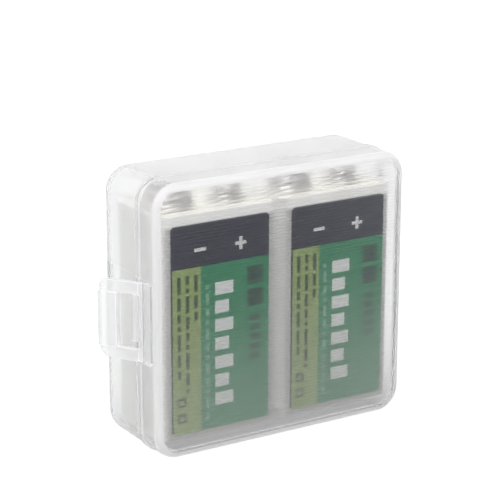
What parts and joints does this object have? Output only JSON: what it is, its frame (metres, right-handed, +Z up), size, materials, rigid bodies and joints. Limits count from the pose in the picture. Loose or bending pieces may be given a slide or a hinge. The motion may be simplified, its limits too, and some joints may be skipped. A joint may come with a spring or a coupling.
{
  "type": "battery storage case",
  "caption": "See-through upright snap case with a hinged front shell, a rim bead and a side latch flap, storing nine volt block batteries side by side.",
  "frame": {"origin": "centre of the flat face that the case stands on", "axes": "+X along the front from the latch to the hinge, +Y from the front window to the back face, +Z up"},
  "size_m": [0.0654, 0.0226, 0.0559],
  "materials": {
    "case_plastic": "see-through frosted polypropylene, satin outside",
    "battery_plastic": "cream moulded plastic, satin",
    "label_film": "printed label in greens and charcoal with plain bars, satin",
    "terminal_metal": "nickel plated steel, bright",
    "cell_metal": "plain flat cell cans, satin",
    "insulating_pad": "dark grey card, matt"
  },
  "bodies": {
    "base": {"base_shell": "case_plastic", "lid_hinge_web": "case_plastic", "left_housing": "battery_plastic", "left_front_label": "label_film", "left_back_label": "label_film", "left_top_plate": "battery_plastic", "left_bottom_cover": "battery_plastic", "left_positive_stud": "terminal_metal", "left_negative_socket": "terminal_metal", "left_cell_stack": "cell_metal", "left_positive_lead": "terminal_metal", "left_negative_lead": "terminal_metal", "left_top_pad": "insulating_pad", "left_bottom_pad": "insulating_pad", "right_housing": "battery_plastic", "right_front_label": "label_film", "right_back_label": "label_film", "right_top_plate": "battery_plastic", "right_bottom_cover": "battery_plastic", "right_positive_stud": "terminal_metal", "right_negative_socket": "terminal_metal", "right_cell_stack": "cell_metal", "right_positive_lead": "terminal_metal", "right_negative_lead": "terminal_metal", "right_top_pad": "insulating_pad", "right_bottom_pad": "insulating_pad"},
    "lid": {"lid_shell": "case_plastic", "latch_hinge_web": "case_plastic"},
    "latch": {"latch_flap": "case_plastic"}
  },
  "joints": [
    {"name": "lid_hinge", "type": "hinge", "parent": "base", "child": "lid", "pos_m": [0.03, -0.0037, 0.0278], "axis": [0, 0, 1], "range_deg": [0, 180], "deforming": ["lid_hinge_web"]},
    {"name": "latch_hinge", "type": "hinge", "parent": "lid", "child": "latch", "pos_m": [-0.0292, -0.007, 0.0278], "axis": [0, 0, 1], "range_deg": [-31, 70], "deforming": ["latch_hinge_web"]}
  ]
}
